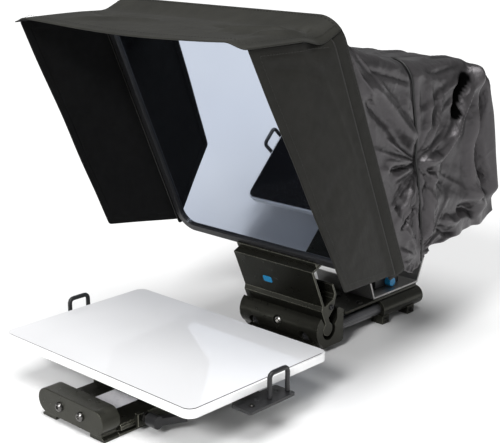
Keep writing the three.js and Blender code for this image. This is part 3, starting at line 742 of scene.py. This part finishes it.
def hood_band():
    """The sleeve that fits round the glass's frame, with a bound edge at front and rear."""
    over = arch(BAND["half"], BAND["low"], BAND["high"], BAND["corner"], 44, 8, 56)
    rows = np.array([0, 0.09, 0.18, 0.22, 0.36, 0.5, 0.64, 0.78, 0.82, 0.91, 1.0])
    u, around = np.meshgrid(rows, np.linspace(0, 1, len(over)), indexing="ij")
    away = lerp(BAND["front"], BAND["rear"], u)
    low_end = smoothstep((0.03 - np.minimum(around, 1 - around)) / 0.03)
    up = np.broadcast_to(over[:, 1], u.shape) - 5 * MM * u * low_end
    points = hood_points(np.stack([np.broadcast_to(over[:, 0], u.shape), away, up], -1))
    normals = grid_normals(points)
    swell = 0.7 * MM * np.sin(np.pi * u) + 0.5 * MM * waviness(points, 22, 4)
    points += normals * (swell * smoothstep((u - 0.35) * 4))[..., None]
    band = grid_mesh("band_cloth", points[::-1], [LOOKS["shaded_side_cloth"], LOOKS["shaded_inner_cloth"]])
    points = points_of(band, u.shape)
    thicken(band, 1.5 * MM, 0.6, hem_weights(rows, around[0], 0.19, 0.008)[::-1], 1)
    last = len(over) - 1.5
    found = stitches_along(points, straight((2, 0.5), (2, last), 300))
    stitches = stitch_mesh("band_stitches", both_faces(found, 1.6 * MM))
    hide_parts("hood_band")
    for piece in (band, stitches):
        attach(piece, "hood")


hood_band()

# ---- Hood: rear shroud --------------------------------------------------------------------
SHROUD_LOW, SHROUD_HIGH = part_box("rear_shroud")
SHROUD_SPAN = SHROUD_HIGH - SHROUD_LOW


def box_share(away, up):
    """A place on the hood's side as shares (back, up) of the shroud's box."""
    place = hood_point(0, away, up) - SHROUD_LOW
    return place.y / SHROUD_SPAN.y, place.z / SHROUD_SPAN.z


# Where the shroud's top and lower edges run, front to rear, as shares of its box (back, up),
# and its half width there in metres.
SHROUD_FRONT = BAND["rear"] - 5 * MM  # its front edge is tucked under the band
SHROUD_STATIONS = [
    (box_share(SHROUD_FRONT, BAND["high"] - 1.5 * MM), box_share(SHROUD_FRONT, BAND["low"]), 0.1665),
    ((0.10, 0.885), (0.42, -0.02), 0.1665),
    ((0.21, 0.85), (0.45, -0.01), 0.167),
    ((0.38, 0.81), (0.49, 0.01), 0.167),
    ((0.59, 0.785), (0.54, 0.06), 0.165),
    ((0.76, 0.775), (0.69, 0.06), 0.164),
    ((0.84, 0.74), (0.82, 0.07), 0.160),
    ((0.91, 0.69), (0.92, 0.06), 0.157),
    ((0.97, 0.57), (1.00, 0.10), 0.153),
]
SEAM_STATION = 3  # the piped seam between the shroud's two lengths of cloth
ROWS_PER_STATION = 20

# Folds of a side: places (back, up) as shares of the box, width and height in metres.
SIDE_FOLDS = [
    ([(0.44, 0.42), (0.56, 0.41), (0.65, 0.53), (0.71, 0.61), (0.79, 0.76)], 7 * MM, 10 * MM, 0.08),
    ([(0.77, 0.76), (0.77, 0.61), (0.77, 0.44), (0.79, 0.30), (0.83, 0.16)], 6 * MM, 9 * MM, 0.12),
    ([(0.80, 0.76), (0.84, 0.67), (0.89, 0.55), (0.93, 0.40), (1.0, 0.15)], 8 * MM, 9 * MM, 0.1),
    ([(0.81, 0.68), (0.83, 0.53), (0.84, 0.44), (0.89, 0.30), (0.97, 0.17)], 7 * MM, -16 * MM, 0.2),
    ([(0.10, 0.79), (0.20, 0.71), (0.31, 0.60), (0.42, 0.49)], 9 * MM, 7 * MM, 0.2),
    ([(0.13, 0.72), (0.24, 0.63), (0.35, 0.51), (0.42, 0.44)], 8 * MM, -6 * MM, 0.2),
    ([(0.06, 0.88), (0.21, 0.84), (0.36, 0.78)], 4 * MM, 3 * MM, 0.2),
    ([(0.13, 0.81), (0.27, 0.77), (0.39, 0.73)], 4 * MM, -3 * MM, 0.2),
    ([(0.24, 0.46), (0.34, 0.44), (0.44, 0.42)], 5 * MM, 4.5 * MM, 0.2),
    ([(0.28, 0.38), (0.37, 0.40), (0.44, 0.41)], 5 * MM, 4 * MM, 0.2),
    ([(0.26, 0.42), (0.36, 0.42), (0.44, 0.42)], 4 * MM, -5 * MM, 0.2),
    ([(0.40, 0.34), (0.37, 0.30), (0.37, 0.26), (0.38, 0.22)], 5 * MM, 5 * MM, 0.25),
    ([(0.37, 0.35), (0.33, 0.30), (0.33, 0.25)], 6 * MM, -2.5 * MM, 0.25),
    ([(0.35, 0.17), (0.39, 0.21), (0.43, 0.26)], 3.5 * MM, -7 * MM, 0.2),
    ([(0.53, 0.39), (0.51, 0.30), (0.50, 0.19), (0.49, 0.09)], 5 * MM, 6 * MM, 0.15),
    ([(0.56, 0.41), (0.53, 0.35), (0.53, 0.25), (0.54, 0.18)], 5 * MM, 6 * MM, 0.2),
    ([(0.49, 0.37), (0.48, 0.24), (0.48, 0.10)], 4 * MM, -4 * MM, 0.2),
    ([(0.77, 0.25), (0.85, 0.18), (0.94, 0.13)], 11 * MM, 8 * MM, 0.25),
    ([(0.70, 0.16), (0.80, 0.16), (0.88, 0.12)], 7 * MM, -9 * MM, 0.2),
    ([(0.58, 0.13), (0.65, 0.09), (0.71, 0.08)], 5 * MM, -6 * MM, 0.25),
    ([(0.61, 0.16), (0.67, 0.13), (0.73, 0.14)], 5 * MM, 6 * MM, 0.25),
    ([(0.48, 0.77), (0.49, 0.64), (0.48, 0.48)], 7 * MM, 4 * MM, 0.3),
    ([(0.56, 0.70), (0.53, 0.58), (0.48, 0.45)], 4 * MM, 4.5 * MM, 0.25),
    ([(0.61, 0.48), (0.63, 0.35), (0.61, 0.23)], 45 * MM, -7 * MM, 0.4),
    ([(0.44, 0.76), (0.56, 0.75), (0.71, 0.76)], 4 * MM, -3.5 * MM, 0.2),
]
# Folds of the shroud's top: places (across from its middle, back) in metres, width and height.
SHROUD_TOP_FOLDS = [
    ([(0.145, 0.02), (0.125, 0.08), (0.135, 0.14)], 3 * MM, 3 * MM),
    ([(0.120, 0.03), (0.100, 0.09), (0.115, 0.16)], 3.5 * MM, -3 * MM),
    ([(0.090, 0.02), (0.100, 0.08), (0.085, 0.13)], 3 * MM, 3 * MM),
    ([(0.060, 0.04), (0.040, 0.10), (0.050, 0.17)], 4 * MM, 3.5 * MM),
    ([(0.020, 0.02), (0.030, 0.09), (0.010, 0.15)], 4 * MM, -3 * MM),
    ([(0.140, 0.16), (0.120, 0.20), (0.135, 0.24)], 3 * MM, 4 * MM),
    ([(0.105, 0.15), (0.090, 0.20), (0.100, 0.25)], 4 * MM, -4 * MM),
    ([(0.070, 0.16), (0.050, 0.21), (0.060, 0.26)], 4 * MM, 4 * MM),
]
# Points the creases spread from: place (shares of the box), how many, height, near and far reach.
STARS = [
    ((0.44, 0.42), 3.2, 5 * MM, 0.03, 0.085, 11),
    ((0.83, 0.78), 3.0, 4.5 * MM, 0.05, 0.16, 12),
    ((0.02, 0.95), 3.4, 4 * MM, 0.03, 0.13, 13),
    ((0.46, 0.04), 3.0, 5 * MM, 0.03, 0.07, 14),
]
# The one deep pleat, as shares of the box, painted black inside as shade.
PLEAT = [(0.735, 0.735), (0.69, 0.69), (0.66, 0.65), (0.645, 0.59), (0.655, 0.54)]
PLEAT_WIDTH, PLEAT_DEPTH = 4.5 * MM, 9 * MM
PINCH = (0.44, 0.42)  # where the cloth is caught on the seam
PINCH_DEPTH, PINCH_REACH = 9 * MM, 13 * MM
NARROWER, TALLER = 0.75, 1.15  # the side folds as drawn, against their sizes in the list
TOP_SHARE, TOP_SHIFT = 0.7, 12 * MM  # the top folds' height share and move across


def shroud_base():
    """The shroud stretched smooth: an arch at each station, and its shares of the box."""
    stations = len(SHROUD_STATIONS) - 1
    along = np.linspace(0, stations, stations * ROWS_PER_STATION + 1)
    numbers = np.arange(stations + 1)
    rows = []
    for s in along:
        def at(pick):
            return np.interp(s, numbers, [pick(entry) for entry in SHROUD_STATIONS])
        top = np.array((at(lambda e: e[0][0]), at(lambda e: e[0][1])))
        low = np.array((at(lambda e: e[1][0]), at(lambda e: e[1][1])))
        half = at(lambda e: e[2])
        over = arch(1.0, 0.0, 1.0, 0.12, 130, 22, 140)
        across = over[:, 0] * half
        height = over[:, 1]
        shares = lerp(low, top, height[:, None])
        y = SHROUD_LOW.y + shares[:, 0] * SHROUD_SPAN.y
        z = SHROUD_LOW.z + shares[:, 1] * SHROUD_SPAN.z
        rows.append(np.stack([across, y, z], -1))
    points = np.array(rows)
    up_share = np.broadcast_to(over[:, 1], points.shape[:2])
    for _ in range(14):
        points[1:-1] = points[1:-1] * 0.5 + (points[:-2] + points[2:]) * 0.25
    return points, along / stations, up_share


def fit_piping(line, radius=1.5 * MM, sides=8):
    """A corded edge sewn into the seam, as a tube round a line of points."""
    forward = np.gradient(line, axis=0)
    forward /= np.linalg.norm(forward, axis=1, keepdims=True)
    out = np.cross(np.array((0, 1.0, 0)), forward)
    out /= np.linalg.norm(out, axis=1, keepdims=True)
    side = np.cross(out, forward)
    turns = np.linspace(0, 2 * math.pi, sides, endpoint=False)
    rings = [line + out * radius * 1.5 + (out * math.cos(t) + side * math.sin(t)) * radius for t in turns]
    rings = np.stack(rings, 1)
    count = len(line)
    faces = [tuple(reversed(range(sides))), tuple((count - 1) * sides + k for k in range(sides))]
    for i in range(count - 1):
        for k in range(sides):
            a, b = i * sides + k, i * sides + (k + 1) % sides
            faces.append((a, b, b + sides, a + sides))
    mesh = bpy.data.meshes.new("seam_piping")
    mesh.from_pydata([tuple(p) for p in rings.reshape(-1, 3)], [], faces)
    mesh.materials.append(LOOKS["piping"])
    for polygon in mesh.polygons:
        polygon.use_smooth = True
    piping = bpy.data.objects.new("seam_piping", mesh)
    bpy.context.collection.objects.link(piping)
    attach(piping, "hood")


def rear_shroud():
    """Thin nylon caught on its seam, hanging in folds from its top corners."""
    points, rows, up_share = shroud_base()
    normals = grid_normals(points)
    back = points[..., 1] - SHROUD_LOW.y
    up = points[..., 2] - SHROUD_LOW.z
    side = np.abs(normals[..., 0])
    height = np.zeros(back.shape)
    for line, width, size, taper in SIDE_FOLDS:
        line = [(b * SHROUD_SPAN.y, g * SHROUD_SPAN.z) for b, g in line]
        height += fold(back, up, line, width * NARROWER, size * TALLER, taper)
    for centre, count, size, near, far, seed in STARS:
        height += star(back, up, centre, count, near, far, seed) * size
    pleat = fold(back, up, np.array(PLEAT) * (SHROUD_SPAN.y, SHROUD_SPAN.z), PLEAT_WIDTH, 1.0, 0.3) * side
    height -= PLEAT_DEPTH * pleat
    pinch = np.hypot(back - PINCH[0] * SHROUD_SPAN.y, up - PINCH[1] * SHROUD_SPAN.z)
    height -= PINCH_DEPTH * np.exp(-(pinch / PINCH_REACH) ** 2)
    distance = np.abs(np.arange(len(rows)) - SEAM_STATION * ROWS_PER_STATION)[:, None]
    height *= side * (1 - 0.8 * np.exp(-(distance / 2.5) ** 2))
    free = smoothstep(rows * 9)[:, None]
    foot = np.exp(-up_share / 0.07)
    across = np.abs(points[..., 0] - TOP_SHIFT)
    for line, width, size in SHROUD_TOP_FOLDS:
        height += TOP_SHARE * fold(across, back, line, width, size) * (1 - side)
    height += 1.1 * MM * ridges(points * (1, 1, 0.6), 16, 3) * free
    behind_seam = smoothstep((rows - 0.3) * 8)[:, None]
    height += 5.0 * MM * waviness(points * (1, 1, 0.3), 50, 6) * foot * behind_seam
    height -= 2.5 * MM * np.exp(-(distance / 1.6) ** 2)
    height *= free
    points += normals * height[..., None]
    shroud = grid_mesh("shroud_cloth", points[::-1], [LOOKS["nylon"], LOOKS["shaded_inner_cloth"]])
    hold = np.full(back.shape, 0.8)
    hold = np.maximum(hold, 1 - rows[:, None] * 10)
    hold = np.maximum(hold, 0.75 * np.exp(-(distance / 1.2) ** 2))
    settle(shroud, hold[::-1], 10, stiffness=6, bending=0.02, mass=0.05)
    points = points_of(shroud, back.shape)
    # painted shade inside the pleat, stored per point for the nylon to read
    painted_pleat_shade = shroud.data.attributes.new("painted_pleat_shade", "FLOAT", "POINT")
    painted_pleat_shade.data.foreach_set("value", smoothstep((pleat[::-1] - 0.04) / 0.12).ravel())
    hems = hem_weights(rows, np.linspace(0, 1, back.shape[1]), 0.03, 0.012)
    thicken(shroud, 1.2 * MM, 0.5, hems[::-1], smooth=False)
    fit_piping(points[-1 - SEAM_STATION * ROWS_PER_STATION])
    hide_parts("rear_shroud")
    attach(shroud, "hood")


rear_shroud()

# ---- Floor, light and close ---------------------------------------------------------------
def make_floor():
    mesh = bpy.data.meshes.new("floor")
    mesh.from_pydata([(-16, -16, 0), (16, -16, 0), (16, 16, 0), (-16, 16, 0)], [], [(0, 1, 2, 3)])
    floor = bpy.data.objects.new("floor", mesh)
    floor.location.z = cad_box[0][2] - 0.0003
    paper = Finish("floor_paper", Roughness=0.9)
    paper.into("Base Color", paper.shades(paper.noise(3), (0.80, 0.80, 0.80), (0.83, 0.83, 0.83)))
    mesh.materials.append(paper.material)
    bpy.context.collection.objects.link(floor)


def make_sun(name, strength, spread, azimuth, elevation):
    """A soft light from a direction: azimuth 0 shines from the reader's side, 90 from the right."""
    data = bpy.data.lights.new(name, "SUN")
    data.energy = strength
    data.angle = math.radians(spread)
    light = bpy.data.objects.new(name, data)
    a, e = math.radians(azimuth), math.radians(elevation)
    towards = Vector((math.sin(a) * math.cos(e), -math.cos(a) * math.cos(e), math.sin(e)))
    light.rotation_mode = "QUATERNION"
    light.rotation_quaternion = towards.to_track_quat("Z", "Y")
    bpy.context.collection.objects.link(light)


make_floor()
make_sun("key", 2.6, 40, 38, 72)
make_sun("side", 2.2, 14, 18, 34)
world = bpy.data.worlds.new("studio")
world.use_nodes = True
sky = world.node_tree.nodes["Background"]
sky.inputs["Color"].default_value = (0.98, 0.99, 1, 1)
seen = world.node_tree.nodes.new("ShaderNodeLightPath").outputs["Is Camera Ray"]
level = world.node_tree.nodes.new("ShaderNodeMapRange")
level.inputs["To Min"].default_value = 0.25  # the light it gives
level.inputs["To Max"].default_value = 1.0  # the backdrop behind the floor
world.node_tree.links.new(seen, level.inputs["Value"])
world.node_tree.links.new(level.outputs["Result"], sky.inputs["Strength"])
bpy.context.scene.world = world
bpy.context.scene.view_settings.view_transform = "Standard"
